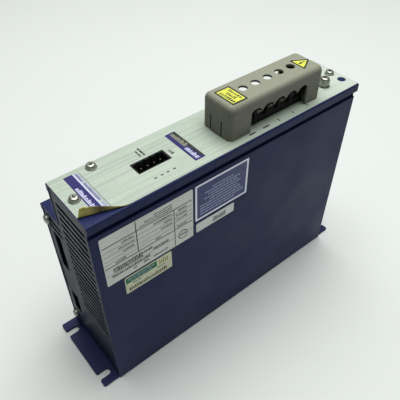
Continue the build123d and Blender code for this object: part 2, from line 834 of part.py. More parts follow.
# ------------------------------------------------------------------ parts on the power board
can_radius = 15.0
can_height = 23.0
can_z = 118.0
can_positions = (-82.0, -48.0, -14.0)
relay_at = (32.0, 116.0)
relay_size = (29.0, 12.7)
relay_height = 15.7
sensors_at = (26.0, 38.0)
sensor_pitch = 16.0
sensor_size = (9.0, 20.0)
sensor_height = 13.0
resistor_at = (-30.0, 38.0)
resistor_size = (48.0, 9.0)
resistor_height = 9.0
resistor_lead_pitch = 40.0
resistor_lift = 1.0             # stands off the board on its leads
transformer_at = (-78.0, 70.0)
transformer_size = (30.0, 26.0)
transformer_height = 20.0
transformer_windows = (4.0, 18.0)
transformer_window_pitch = 22.0
choke_at = (66.0, 116.0)
choke_radii = (13.0, 6.0)
choke_height = 12.0
link_at = (20.0, 144.0)
link_size = (52.0, 6.0)

with BuildPart() as bus_capacitors:
    for x in can_positions:
        with BuildSketch(Plane(origin=(x, power_board_near, can_z), x_dir=(1, 0, 0), z_dir=(0, 0, 1))):
            with BuildLine():
                Polyline(
                    (0, 0),
                    (can_radius, 0),
                    (can_radius, -3.0),
                    (can_radius - 0.8, -3.8),
                    (can_radius, -4.6),
                    (can_radius, -can_height + 1.0),
                    (can_radius - 1.0, -can_height),
                    (can_radius - 2.0, -can_height),
                    (can_radius - 2.0, -can_height + 0.6),
                    (0, -can_height + 0.6),
                    close=True,
                )
            make_face()
        revolve(axis=Axis((x, power_board_near, can_z), (0, 1, 0)))
bus_capacitors.part.label = "bus_capacitors"

with BuildPart() as inrush_relay:
    with BuildSketch(plane_at_y(power_board_near)):
        with Locations(relay_at):
            RectangleRounded(*relay_size, 0.8)
    extrude(amount=relay_height)
    fillet(inrush_relay.faces().sort_by(Axis.Y)[0].edges(), radius=0.6)
inrush_relay.part.label = "inrush_relay"

with BuildPart() as current_sensors:
    with BuildSketch(plane_at_y(power_board_near)):
        with Locations(sensors_at):
            with GridLocations(sensor_pitch, 1, 3, 1):
                RectangleRounded(*sensor_size, 0.6)
    extrude(amount=sensor_height)
current_sensors.part.label = "current_sensors"

with BuildPart() as brake_resistor:
    with BuildSketch(plane_at_y(power_board_near - resistor_lift)):
        with Locations(resistor_at):
            Rectangle(*resistor_size)
    extrude(amount=resistor_height)
    with BuildSketch(plane_at_y(power_board_near)):
        with Locations(resistor_at):
            with GridLocations(resistor_lead_pitch, 1, 2, 1):
                Circle(1.0)
    extrude(amount=resistor_lift)
brake_resistor.part.label = "brake_resistor"

with BuildPart() as supply_transformer:
    with BuildSketch(plane_at_y(power_board_near)):
        with Locations(transformer_at):
            Rectangle(*transformer_size)
            with GridLocations(transformer_window_pitch, 1, 2, 1):
                Rectangle(*transformer_windows, mode=Mode.SUBTRACT)
    extrude(amount=transformer_height)
    fillet(supply_transformer.faces().sort_by(Axis.Y)[0].outer_wire().edges(), radius=1.0)
supply_transformer.part.label = "supply_transformer"

with BuildPart() as filter_choke:
    with BuildSketch(plane_at_y(power_board_near)):
        with Locations(choke_at):
            Circle(choke_radii[0])
            Circle(choke_radii[1], mode=Mode.SUBTRACT)
    extrude(amount=choke_height)
    fillet(filter_choke.edges().filter_by(GeomType.CIRCLE).group_by(Axis.Y)[0], radius=2.5)
filter_choke.part.label = "filter_choke"

with BuildPart() as board_link:
    with BuildSketch(plane_at_y(power_board_near)):
        with Locations(link_at):
            Rectangle(*link_size)
    extrude(amount=power_board_near - control_board_far)
board_link.part.label = "board_link"

# ------------------------------------------------------------------ chips on the control board
chips = (                       # X, Z, length and height of each chip
    (-30.0, 92.0, 22.0, 22.0),
    (8.0, 96.0, 14.0, 18.0),
    (-62.0, 84.0, 12.0, 20.0),
    (36.0, 70.0, 10.0, 16.0),
    (-30.0, 54.0, 18.0, 8.0),
    (62.0, 110.0, 16.0, 8.0),
)
chip_height = 1.6

with BuildPart() as control_chips:
    with BuildSketch(plane_at_y(control_board_far)):
        for x, z, length, height in chips:
            with Locations((x, z)):
                Rectangle(length, height)
    extrude(amount=-chip_height)
    chamfer(control_chips.faces().sort_by(Axis.Y)[-1].edges(), length=0.3)
control_chips.part.label = "control_chips"

# ------------------------------------------------------------------ board behind the connector panel
front_board_left = left + 46.0
front_board_right = left + 208.0
front_board_middle_x = (front_board_left + front_board_right) / 2
front_board_near = near + 4.0
front_board_far = near + 43.0
spacer_x = (front_board_left + 5.0, front_board_right - 3.6)
spacer_y = (front_board_near + 4.0, front_board_far - 8.0)
spacers = [(x, y) for x in spacer_x for y in spacer_y]
spacer_radius = 2.9
front_link_x = 50.0
front_link_size = (46.0, 5.0)
front_link_low = 150.0

with BuildPart() as front_board:
    with BuildSketch(Plane.XY.offset(board_top)):
        with Locations((front_board_middle_x, (front_board_near + front_board_far) / 2)):
            RectangleRounded(
                front_board_right - front_board_left, front_board_far - front_board_near, 1.5
            )
        with Locations(spacers):
            Circle(m3_clearance, mode=Mode.SUBTRACT)
    extrude(amount=-board_thickness)
front_board.part.label = "front_board"

with BuildPart() as panel_spacers:
    with BuildSketch(Plane.XY.offset(board_top)):
        with Locations(spacers):
            Circle(spacer_radius)
            Circle(m3_clearance, mode=Mode.SUBTRACT)
    extrude(amount=panel_under - board_top)
panel_spacers.part.label = "panel_spacers"

with BuildPart() as front_board_screws:
    for x, y in spacers:
        with Locations(Location((x, y, board_top - board_thickness), (180, 0, 0))):
            add(board_screw)
front_board_screws.part.label = "front_board_screws"

with BuildPart() as front_board_link:
    with BuildSketch(Plane.XY.offset(front_link_low)):
        with Locations((front_link_x, power_board_near + board_thickness / 2)):
            Rectangle(*front_link_size)
    extrude(amount=board_top - board_thickness - front_link_low)
front_board_link.part.label = "front_board_link"

# ------------------------------------------------------------------ cooling fan at the outlet end
fan_size = 40.0
fan_depth = 20.0
fan_hole_spacing = 32.0
fan_bore = 19.0
fan_y = near + 23.6
fan_z = 84.0
fan_out = inner_right - 1.0
fan_in = fan_out - fan_depth
hub_radius = 9.2
hub_wall = 1.5
blade_count = 7
blade_tip = 18.1
blade_chord = 14.0
blade_thickness = 1.4
blade_pitch = 35.0
spindle_radius = 1.5
spindle_fit = 0.05
bearing_radius = 3.2
spoke_width = 2.4
spoke_depth = 2.0
bearing_length = 10.0
wheel_inset = 1.5               # wheel behind the fan's inlet face
wheel_depth = fan_depth - 5.0

with BuildPart() as fan_frame:
    with BuildSketch(plane_at_x(fan_in)):
        with Locations((fan_y, fan_z)):
            RectangleRounded(fan_size, fan_size, 3.0)
            Circle(fan_bore, mode=Mode.SUBTRACT)
            with GridLocations(fan_hole_spacing, fan_hole_spacing, 2, 2):
                Circle(m3_clearance, mode=Mode.SUBTRACT)
    extrude(amount=fan_depth)
    with BuildSketch(plane_at_x(fan_out - spoke_depth)):
        with Locations((fan_y, fan_z)):
            Circle(hub_radius)
            with PolarLocations((hub_radius + fan_bore) / 2, 4, start_angle=45):
                Rectangle(fan_bore - hub_radius + 1.0, spoke_width)
    extrude(amount=spoke_depth)
    with BuildSketch(plane_at_x(fan_out - spoke_depth)):
        with Locations((fan_y, fan_z)):
            Circle(bearing_radius)
    extrude(amount=-bearing_length)
    with BuildSketch(plane_at_x(fan_out - spoke_depth - bearing_length)):
        with Locations((fan_y, fan_z)):
            Circle(spindle_radius + spindle_fit)
    extrude(amount=bearing_length + 1.0, mode=Mode.SUBTRACT)
fan_frame.part.label = "fan_frame"

with BuildPart() as fan_coils:
    with BuildSketch(plane_at_x(fan_out - 10.0)):
        with Locations((fan_y, fan_z)):
            Circle(6.6)
            with PolarLocations(6.6, 4):
                Circle(1.4, mode=Mode.SUBTRACT)
            Circle(bearing_radius + 0.05, mode=Mode.SUBTRACT)
    extrude(amount=6.0)
fan_coils.part.label = "fan_coils"

with BuildPart() as fan_rotor:
    with BuildSketch(plane_at_x(fan_in + wheel_inset)):
        with Locations((fan_y, fan_z)):
            Circle(hub_radius)
    extrude(amount=wheel_depth)
    with BuildSketch(plane_at_x(fan_in + wheel_inset + hub_wall)):
        with Locations((fan_y, fan_z)):
            Circle(hub_radius - hub_wall)
    extrude(amount=fan_depth, mode=Mode.SUBTRACT)
    with BuildSketch(plane_at_x(fan_in + wheel_inset)):
        with Locations((fan_y, fan_z)):
            Circle(spindle_radius)
    extrude(amount=wheel_depth)
    for index in range(blade_count):
        turn = radians(index * 360 / blade_count)
        outward = Vector(0, cos(turn), sin(turn))
        sideways = Vector(0, -sin(turn), cos(turn))
        chord = Vector(1, 0, 0) * cos(radians(blade_pitch)) + sideways * sin(radians(blade_pitch))
        root = Vector(fan_in + 9.0, fan_y, fan_z) + outward * (hub_radius - 0.6)
        with BuildSketch(Plane(origin=root, x_dir=chord, z_dir=outward)):
            RectangleRounded(blade_chord, blade_thickness, 0.5)
        extrude(amount=blade_tip - hub_radius + 0.6)
fan_rotor.part.label = "fan_rotor"

with BuildPart() as fan_bracket:
    with BuildSketch(plane_at_x(fan_in)):
        with BuildLine():
            Polyline(
                (fan_y - fan_size / 2, plate_thickness),
                (fan_y + fan_size / 2, plate_thickness),
                (fan_y + fan_size / 2, fan_z + fan_size / 2),
                (fan_y - fan_size / 2, fan_z + fan_size / 2),
                close=True,
            )
        make_face()
        with Locations((fan_y, fan_z)):
            Circle(fan_bore, mode=Mode.SUBTRACT)
            with GridLocations(fan_hole_spacing, fan_hole_spacing, 2, 2):
                Circle(m3_clearance, mode=Mode.SUBTRACT)
    extrude(amount=-skin)
    with BuildSketch(Plane.XY.offset(plate_thickness)):
        with Locations((fan_in - skin - 5.0, fan_y)):
            Rectangle(12.0, fan_size)
    extrude(amount=skin)
fan_bracket.part.label = "fan_bracket"

fan_screw = pan_screw(small_head, m3_radius, shank_length=8.0)
with BuildPart() as fan_screws:
    for across in (-fan_hole_spacing / 2, fan_hole_spacing / 2):
        for up in (-fan_hole_spacing / 2, fan_hole_spacing / 2):
            with Locations(Location((fan_in - skin, fan_y + across, fan_z + up), (0, -90, 0))):
                add(fan_screw)
fan_screws.part.label = "fan_screws"

# ------------------------------------------------------------------ one file for each piece
pieces = [
    mounting_plate,
    left_end_wall,
    right_end_wall,
    near_side_panel,
    far_side_panel,
    shelf_cover,
    front_panel,
    front_film,
    lifted_corner,
    panel_screws,
    panel_washers,
    end_screws,
    earth_washers,
    earth_nut,
    earth_screw,
    header_housing,
    header_pins,
    terminal_block,
    terminal_plates,
    *terminal_screws,
    terminal_cover,
    cover_warning_label,
    cover_hazard_label,
    *stickers,
    heat_sink,
    heat_sink_brackets,
    power_module,
    rectifier_bridge,
    module_screws,
    power_board,
    control_board,
    board_standoffs,
    board_screws,
    bus_capacitors,
    inrush_relay,
    current_sensors,
    brake_resistor,
    supply_transformer,
    filter_choke,
    board_link,
    control_chips,
    front_board,
    panel_spacers,
    front_board_screws,
    front_board_link,
    fan_frame,
    fan_coils,
    fan_rotor,
    fan_bracket,
    fan_screws,
]
for piece in pieces:
    export_step(piece.part, f"parts/{piece.part.label}.step")
print(len(pieces), "pieces written")
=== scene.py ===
import json
import math
import random

import bmesh
import bpy
from mathutils import Matrix, Vector, noise


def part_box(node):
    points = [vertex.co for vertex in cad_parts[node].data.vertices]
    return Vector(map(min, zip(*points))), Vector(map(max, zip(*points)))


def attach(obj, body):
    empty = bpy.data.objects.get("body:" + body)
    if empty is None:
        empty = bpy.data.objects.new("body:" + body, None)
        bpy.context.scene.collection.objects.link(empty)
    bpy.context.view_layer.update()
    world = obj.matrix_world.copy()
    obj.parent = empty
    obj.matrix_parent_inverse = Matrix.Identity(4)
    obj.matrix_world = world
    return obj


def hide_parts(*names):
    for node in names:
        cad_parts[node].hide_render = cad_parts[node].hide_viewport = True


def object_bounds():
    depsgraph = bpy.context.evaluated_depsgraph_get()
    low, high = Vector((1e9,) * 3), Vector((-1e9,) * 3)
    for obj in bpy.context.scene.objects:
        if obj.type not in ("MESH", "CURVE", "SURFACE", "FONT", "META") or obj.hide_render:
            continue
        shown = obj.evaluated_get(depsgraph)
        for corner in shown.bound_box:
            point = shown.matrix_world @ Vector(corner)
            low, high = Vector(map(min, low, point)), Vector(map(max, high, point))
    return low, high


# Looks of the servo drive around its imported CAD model. The CAD nodes keep their shapes and get
# procedural finishes. Prints, the cover's labels and the peeled film corner are built here.

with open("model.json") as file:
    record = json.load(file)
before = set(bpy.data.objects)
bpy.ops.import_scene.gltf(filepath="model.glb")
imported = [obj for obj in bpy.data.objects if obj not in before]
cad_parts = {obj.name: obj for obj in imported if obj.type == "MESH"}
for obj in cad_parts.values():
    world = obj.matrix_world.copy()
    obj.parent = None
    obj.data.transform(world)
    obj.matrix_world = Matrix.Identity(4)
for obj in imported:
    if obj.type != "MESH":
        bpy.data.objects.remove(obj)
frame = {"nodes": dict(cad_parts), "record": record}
cad_low, cad_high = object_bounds()

MM = 0.001
INK = 0.02          # thickness of a printed layer, in mm
SUNK = 0.01         # how far a printed layer goes into what carries it, in mm
SHORTEST = 0.3      # a line of print stops when less than this is left of it, in mm


# ------------------------------------------------------------------ finishes
class Finish:
    """A Principled material with procedural detail, in metres along the object's own axes."""

    def __init__(self, name, colour, roughness, metallic=0.0, specular=0.5):
        self.material = bpy.data.materials.new(name)
        self.material.use_nodes = True
        self.tree = self.material.node_tree
        self.tree.nodes.clear()
        self.shader = self.add("ShaderNodeBsdfPrincipled")
        self.shader.inputs["Base Color"].default_value = (*colour, 1.0)
        self.shader.inputs["Roughness"].default_value = roughness
        self.shader.inputs["Metallic"].default_value = metallic
        self.shader.inputs["Specular IOR Level"].default_value = specular
        output = self.add("ShaderNodeOutputMaterial")
        self.tree.links.new(self.shader.outputs["BSDF"], output.inputs["Surface"])
        self.place = self.add("ShaderNodeTexCoord").outputs["Object"]
        self.colour = (*colour, 1.0)
        self.normal = None

    def add(self, kind, **inputs):
        """A new node. Each named input takes a number, a vector or another node's output."""
        node = self.tree.nodes.new(kind)
        for name, value in inputs.items():
            self.put(node.inputs[name.replace("_", " ")], value)
        return node

    def put(self, socket, value):
        if isinstance(value, bpy.types.NodeSocket):
            self.tree.links.new(value, socket)
        else:
            socket.default_value = value

    def cloud(self, size, low, high, share=1.0, detail=2.0, stretch=(1, 1, 1), shift=0.0):
        """Mask from 0 to share where blotches about size metres wide pass from low to high."""
        scale = tuple(1 / (size * along) for along in stretch)
        mapping = self.add("ShaderNodeMapping", Vector=self.place, Scale=scale)
        mapping.inputs["Location"].default_value = (shift, shift, shift)
        texture = self.add(
            "ShaderNodeTexNoise", Vector=mapping.outputs[0], Scale=1.0, Detail=detail
        )
        return self.between(texture.outputs[0], low, high, 0.0, share)

    def between(self, value, low, high, at_low, at_high):
        """Value carried from low..high to at_low..at_high, and held at the ends."""
        node = self.add("ShaderNodeMapRange", Value=value)
        for name, number in (
            ("From Min", low), ("From Max", high), ("To Min", at_low), ("To Max", at_high)
        ):
            node.inputs[name].default_value = number
        return node.outputs[0]

    def cells(self, size, low, high, share=1.0, feature="F1", stretch=(1, 1, 1)):
        """Mask from a cell pattern about size metres across."""
        scale = tuple(1 / (size * along) for along in stretch)
        mapping = self.add("ShaderNodeMapping", Vector=self.place, Scale=scale)
        texture = self.add("ShaderNodeTexVoronoi", Vector=mapping.outputs[0], Scale=1.0)
        texture.feature = feature
        return self.between(texture.outputs["Distance"], low, high, 0.0, share)

    def tint(self, mask, colour):
        """Turns the colour towards another one by the mask."""
        mix = self.tree.nodes.new("ShaderNodeMix")
        mix.data_type = "RGBA"
        self.put(mix.inputs[0], mask)
        self.put(mix.inputs[6], self.colour)
        self.put(mix.inputs[7], (*colour, 1.0))
        self.colour = mix.outputs[2]
        self.put(self.shader.inputs["Base Color"], self.colour)
        return self

    def rough(self, value, at_low, at_high):
        """Roughness from at_low to at_high as a mask goes from 0 to 1."""
        self.put(self.shader.inputs["Roughness"], self.between(value, 0.0, 1.0, at_low, at_high))
        return self

    def relief(self, height, depth):
        """Small relief, depth metres from the mask's 0 to its 1."""
        bump = self.add("ShaderNodeBump", Height=height, Distance=depth, Strength=1.0)
        if self.normal is not None:
            self.put(bump.inputs["Normal"], self.normal)
        self.normal = bump.outputs[0]
        self.put(self.shader.inputs["Normal"], self.normal)
        return self

    def soft_edges(self, radius):
        """Rounds the look of sharp edges. Returns a mask that is 1 on them."""
        bevel = self.add("ShaderNodeBevel", Radius=radius)
        bevel.samples = 4
        self.normal = bevel.outputs[0]
        self.put(self.shader.inputs["Normal"], self.normal)
        facing = self.add("ShaderNodeVectorMath")
        facing.operation = "DOT_PRODUCT"
        self.put(facing.inputs[0], self.normal)
        self.put(facing.inputs[1], self.add("ShaderNodeNewGeometry").outputs["Normal"])
        flat, bent = 0.995, 0.85        # how well the rounded normal agrees with the face
        return self.between(facing.outputs["Value"], flat, bent, 0.0, 1.0)

    def along_x(self, low, high, share=1.0):
        """Mask from 0 to share as X passes from low to high, in metres."""
        axes = self.add("ShaderNodeSeparateXYZ", Vector=self.place)
        return self.between(axes.outputs["X"], low, high, 0.0, share)

    def facing_up(self, share=1.0):
        """Mask from 0 to share as the surface turns from steep to level."""
        surface = self.add("ShaderNodeNewGeometry")
        axes = self.add("ShaderNodeSeparateXYZ", Vector=surface.outputs["Normal"])
        steep, level = 0.4, 0.95        # Z of the normal
        return self.between(axes.outputs["Z"], steep, level, 0.0, share)


def painted_sheet(name, colour, rubbed, gloss=0.12):
    """Semi-gloss powder coat: orange peel, handling smudges, dust and rubbed edges."""
    finish = Finish(name, colour, 0.42, specular=gloss)
    edge = finish.soft_edges(0.0006)
    finish.tint(finish.cloud(0.06, 0.35, 0.75, 0.30), tuple(1.5 * c for c in colour))
    finish.tint(finish.cloud(0.0011, 0.45, 0.75, 0.16), rubbed)
    finish.tint(finish.between(edge, 0.35, 1.0, 0.0, 0.45), rubbed)
    finish.tint(finish.cloud(0.0010, 0.76, 0.80, 0.10, detail=0.0, shift=3.0), (0.26, 0.28, 0.31))
    finish.rough(finish.cloud(0.035, 0.3, 0.7, detail=4.0, shift=7.0), 0.33, 0.50)
    finish.relief(finish.cloud(0.0012, 0.3, 0.7, detail=1.0), 0.000014)
    return finish


def printed_film():
    """Pale polyester film over brushed metal: fine lines along X, soft handling marks, and a
    painted reflection lighter towards +X.
    """
    finish = Finish("printed_film", (0.335, 0.40, 0.33), 0.42)
    long_lines = (60, 1, 1)
    finish.tint(
        finish.cloud(0.0016, 0.42, 0.64, 0.55, detail=1.0, stretch=long_lines), (0.20, 0.245, 0.20)
    )
    finish.tint(
        finish.cloud(0.0005, 0.40, 0.66, 0.35, detail=2.0, stretch=long_lines, shift=5.0),
        (0.45, 0.50, 0.45),
    )
    finish.tint(finish.cloud(0.05, 0.45, 0.75, 0.25, detail=3.0), (0.38, 0.425, 0.38))
    finish.tint(finish.cloud(0.0012, 0.72, 0.78, 0.5, detail=0.0, shift=2.0), (0.25, 0.26, 0.22))
    # painted reflection: the film turns lighter towards +X, its right end
    finish.tint(finish.along_x(0.070, 0.115, 0.6), (0.50, 0.55, 0.50))
    finish.rough(finish.cloud(0.02, 0.3, 0.7, detail=4.0), 0.34, 0.5)
    finish.relief(finish.cloud(0.0006, 0.3, 0.7, stretch=long_lines), 0.000012)
    return finish


def film_back():
    """Old amber adhesive on the film's underside: glossy and blotched, darker part way along X and
    amber again beyond.
    """
    finish = Finish("film_back", (0.38, 0.34, 0.095), 0.38, specular=0.3)
    finish.tint(finish.cloud(0.004, 0.45, 0.7, 0.55, detail=4.0), (0.22, 0.175, 0.035))
    finish.tint(finish.cloud(0.0012, 0.5, 0.7, 0.4, detail=3.0, shift=4.0), (0.52, 0.48, 0.22))
    # darker from x -0.1155 m on, and amber again from x -0.1075 m on
    finish.tint(finish.along_x(-0.1155, -0.1095, 0.9), (0.060, 0.045, 0.025))
    finish.tint(finish.along_x(-0.1075, -0.1030, 0.8), (0.30, 0.23, 0.06))
    finish.rough(finish.cloud(0.002, 0.3, 0.7), 0.28, 0.6)
    finish.relief(finish.cloud(0.0009, 0.3, 0.7, detail=3.0), 0.00006)
    return finish


def moulded_plastic(name, colour, dust, grain=0.0005, roughness=(0.45, 0.6), gloss=0.5):
    """Moulded plastic with a fine spark texture, faint flow lines, dust and rubbed edges."""
    finish = Finish(name, colour, roughness[0], specular=gloss)
    edge = finish.soft_edges(0.0005)
    finish.tint(finish.cloud(0.03, 0.35, 0.7, 0.25, detail=3.0), tuple(0.8 * c for c in colour))
    finish.tint(finish.cloud(0.0009, 0.45, 0.7, 0.18, detail=3.0, shift=2.0), dust)
    finish.tint(finish.between(edge, 0.3, 1.0, 0.0, 0.22), dust)
    finish.tint(finish.cloud(0.0014, 0.71, 0.77, 0.45, detail=0.0, shift=9.0), dust)
    finish.rough(finish.cloud(0.012, 0.3, 0.7, detail=4.0), *roughness)
    finish.relief(finish.cloud(grain, 0.25, 0.75, detail=2.0), 0.000018)
    return finish


def cover_plastic_with_painted_top_light():
    """The cover's grey-green plastic with fine dust specks; faces that look up are painted lighter,
    as painted light from above.
    """
    finish = moulded_plastic("cover_plastic", (0.130, 0.131, 0.103), (0.27, 0.27, 0.22), gloss=0.3)
    # painted light: faces that look up are tinted lighter, as if lit from above
    finish.tint(finish.facing_up(0.85), (0.236, 0.246, 0.187))
    finish.tint(finish.cloud(0.0010, 0.50, 0.72, 0.30, detail=3.0, shift=6.0), (0.16, 0.16, 0.125))
    return finish


def plated_metal(name, colour, stain, roughness, brushed=(1, 1, 1), depth=0.000008):
    """Plated or bare metal: cloudy plating, fine tool marks and dull stains."""
    finish = Finish(name, colour, roughness[0], metallic=1.0)
    edge = finish.soft_edges(0.0002)
    finish.tint(finish.cloud(0.0025, 0.4, 0.7, 0.5, detail=4.0), stain)
    finish.tint(finish.between(edge, 0.3, 1.0, 0.0, 0.35), tuple(min(1.0, 1.3 * c) for c in colour))
    finish.rough(finish.cloud(0.0018, 0.3, 0.7, detail=3.0, shift=6.0), *roughness)
    finish.relief(finish.cloud(0.00035, 0.3, 0.7, detail=2.0, stretch=brushed), depth)
    return finish


def paper_label(name, colour, smudge, roughness=(0.4, 0.6), metallic=0.0):
    """Printed label stock: slight fibre, fingerprints and dirt in the surface."""
    finish = Finish(name, colour, roughness[0], metallic=metallic)
    edge = finish.soft_edges(0.0002)
    finish.tint(finish.cloud(0.012, 0.4, 0.75, 0.45, detail=5.0), smudge)
    finish.tint(finish.cloud(0.0007, 0.45, 0.75, 0.22, detail=3.0, shift=3.0), smudge)
    finish.tint(finish.between(edge, 0.3, 1.0, 0.0, 0.4), smudge)
    finish.rough(finish.cloud(0.008, 0.3, 0.7, detail=4.0), *roughness)
    finish.relief(finish.cloud(0.0012, 0.3, 0.7, detail=3.0), 0.00001)
    return finish


def printed_ink(name, colour, worn):
    """Ink with small worn pinholes and uneven cover."""
    finish = Finish(name, colour, 0.5, specular=0.2)
    finish.tint(finish.cloud(0.0007, 0.55, 0.72, 0.45, detail=3.0), worn)
    finish.tint(finish.cloud(0.006, 0.4, 0.7, 0.25, detail=2.0, shift=4.0), worn)
    finish.rough(finish.cloud(0.003, 0.3, 0.7), 0.4, 0.6)
    finish.relief(finish.cloud(0.0004, 0.3, 0.7), 0.000004)
    return finish


def circuit_board():
    """Green solder mask over copper tracks, with pale pads between them."""
    finish = Finish("circuit_board", (0.010, 0.085, 0.030), 0.32)
    tracks = finish.cells(0.004, 0.02, 0.07, feature="DISTANCE_TO_EDGE", stretch=(1, 1, 0.6))
    finish.tint(finish.between(tracks, 0.0, 1.0, 0.7, 0.0), (0.03, 0.20, 0.07))
    finish.tint(finish.cells(0.0052, 0.16, 0.12), (0.55, 0.56, 0.54))
    finish.tint(finish.cloud(0.02, 0.4, 0.7, 0.3, detail=3.0), (0.02, 0.06, 0.03))
    finish.rough(finish.cloud(0.01, 0.3, 0.7), 0.25, 0.45)
    finish.relief(tracks, -0.00003)
    return finish


def wound_copper():
    """Enamelled wire wound round the fan's poles."""
    finish = Finish("wound_copper", (0.70, 0.24, 0.08), 0.3, metallic=1.0)
    turns = finish.cells(0.0005, 0.1, 0.5, stretch=(1, 8, 8))
    finish.tint(turns, (0.30, 0.09, 0.03))
    finish.rough(finish.cloud(0.001, 0.3, 0.7), 0.25, 0.45)
    finish.relief(turns, -0.00008)
    return finish


def ceramic():
    """Rough cement body of a power resistor."""
    finish = Finish("ceramic", (0.62, 0.60, 0.55), 0.85)
    finish.tint(finish.cloud(0.0015, 0.4, 0.7, 0.5, detail=6.0), (0.42, 0.40, 0.36))
    finish.rough(finish.cloud(0.002, 0.3, 0.7), 0.75, 0.95)
    finish.relief(finish.cloud(0.0008, 0.3, 0.7, detail=6.0), 0.00006)
    return finish


blue = (0.0085, 0.0135, 0.060)
finishes = {
    "blue_paint": painted_sheet("blue_paint", blue, (0.07, 0.075, 0.16)),
    "end_paint": painted_sheet(
        "end_paint", (0.0036, 0.0095, 0.0225), (0.022, 0.040, 0.070), gloss=0.08
    ),
    "front_film": printed_film(),
    "film_back": film_back(),
    "cover_plastic": cover_plastic_with_painted_top_light(),
    "black_plastic": moulded_plastic(
        "black_plastic",
        (0.0085, 0.0095, 0.0095),
        (0.028, 0.030, 0.030),
        roughness=(0.5, 0.65),
        gloss=0.2,
    ),
    "zinc_screw": plated_metal(
        "zinc_screw", (0.34, 0.355, 0.315), (0.20, 0.21, 0.17), (0.30, 0.45)
    ),
    "tin_plate": plated_metal("tin_plate", (0.34, 0.34, 0.32), (0.22, 0.21, 0.19), (0.28, 0.45)),
    "gold_pin": plated_metal("gold_pin", (0.27, 0.24, 0.18), (0.16, 0.14, 0.10), (0.3, 0.45)),
    "yellow_label": paper_label("yellow_label", (0.60, 0.61, 0.055), (0.42, 0.42, 0.07)),
    "silver_label": paper_label(
        "silver_label", (0.66, 0.665, 0.63), (0.50, 0.50, 0.475), (0.36, 0.5)
    ),
    "blue_label": paper_label("blue_label", (0.020, 0.028, 0.135), (0.045, 0.055, 0.15)),
    "white_label": paper_label("white_label", (0.66, 0.68, 0.66), (0.50, 0.51, 0.50)),
    "green_label": paper_label("green_label", (0.60, 0.62, 0.44), (0.44, 0.45, 0.30)),
    "sink_aluminium": plated_metal(
        "sink_aluminium", (0.60, 0.61, 0.62), (0.42, 0.43, 0.44), (0.35, 0.5), brushed=(40, 1, 1)
    ),
    "bracket_steel": plated_metal(
        "bracket_steel", (0.55, 0.55, 0.53), (0.35, 0.35, 0.31), (0.3, 0.5)
    ),
    "circuit_board": circuit_board(),
    "module_case": moulded_plastic("module_case", (0.030, 0.029, 0.027), (0.10, 0.10, 0.09)),
    "can_sleeve": moulded_plastic(
        "can_sleeve", (0.010, 0.020, 0.060), (0.08, 0.09, 0.14), roughness=(0.25, 0.4)
    ),
    "relay_case": moulded_plastic(
        "relay_case", (0.55, 0.53, 0.45), (0.40, 0.38, 0.32), roughness=(0.3, 0.45)
    ),
    "ferrite": moulded_plastic("ferrite", (0.035, 0.033, 0.032), (0.10, 0.09, 0.08), grain=0.0009),
    "resistor_ceramic": ceramic(),
    "coil_copper": wound_copper(),
    "fan_plastic": moulded_plastic("fan_plastic", (0.018, 0.018, 0.019), (0.08, 0.08, 0.08)),
}
inks = {
    "title": printed_ink("title_ink", (0.017, 0.015, 0.100), (0.035, 0.032, 0.150)),
    "white": printed_ink("white_ink", (0.82, 0.86, 0.95), (0.68, 0.72, 0.82)),
    "black": printed_ink("black_ink", (0.016, 0.016, 0.020), (0.08, 0.08, 0.08)),
    "grey": printed_ink("grey_ink", (0.075, 0.075, 0.085), (0.16, 0.16, 0.17)),
    "lavender": printed_ink("lavender_ink", (0.26, 0.28, 0.40), (0.42, 0.44, 0.52)),
    "mist": printed_ink("mist_ink", (0.52, 0.53, 0.70), (0.34, 0.35, 0.53)),
    "olive": printed_ink("olive_ink", (0.24, 0.25, 0.15), (0.13, 0.14, 0.10)),
    "slate": printed_ink("slate_ink", (0.060, 0.065, 0.150), (0.14, 0.15, 0.24)),
    "pale": printed_ink("pale_ink", (0.30, 0.34, 0.52), (0.15, 0.18, 0.34)),
    "green": printed_ink("green_ink", (0.012, 0.150, 0.062), (0.05, 0.24, 0.12)),
    "gold": printed_ink("gold_ink", (0.30, 0.27, 0.09), (0.40, 0.40, 0.24)),
    "red": printed_ink("red_ink", (0.20, 0.055, 0.035), (0.34, 0.20, 0.14)),
}


def dress(thing, finish):
    """Gives every material slot of an object one finish."""
    if not thing.material_slots:
        thing.data.materials.append(finish.material)
    for place in thing.material_slots:
        place.material = finish.material


for part in frame["record"]["subparts"]:
    dress(frame["nodes"][part["node"]], finishes[part["material_slot"]])


# ------------------------------------------------------------------ building helpers
class Face:
    """A flat face to print on. Points on it are in mm from a corner, across and up."""

    def __init__(self, corner, across, up):
        self.corner = Vector(corner)
        self.across = Vector(across)
        self.up = Vector(up)
        self.out = self.across.cross(self.up)

    def at(self, x, y, lift=0.0):
        return self.corner + MM * (self.across * x + self.up * y + self.out * lift)


def near_face(node):
    """The face of a node that looks along -Y, from its left lower corner."""
    low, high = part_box(node)
    return Face((low.x, low.y, low.z), (1, 0, 0), (0, 0, 1))


def piece(name, mesh_parts, finish, body):
    """One object from a bmesh, riding on a body."""
    mesh = bpy.data.meshes.new(name)
    mesh_parts.to_mesh(mesh)
    mesh_parts.free()
    made = bpy.data.objects.new(name, mesh)
    bpy.context.scene.collection.objects.link(made)
    dress(made, finish)
    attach(made, body)
    return made


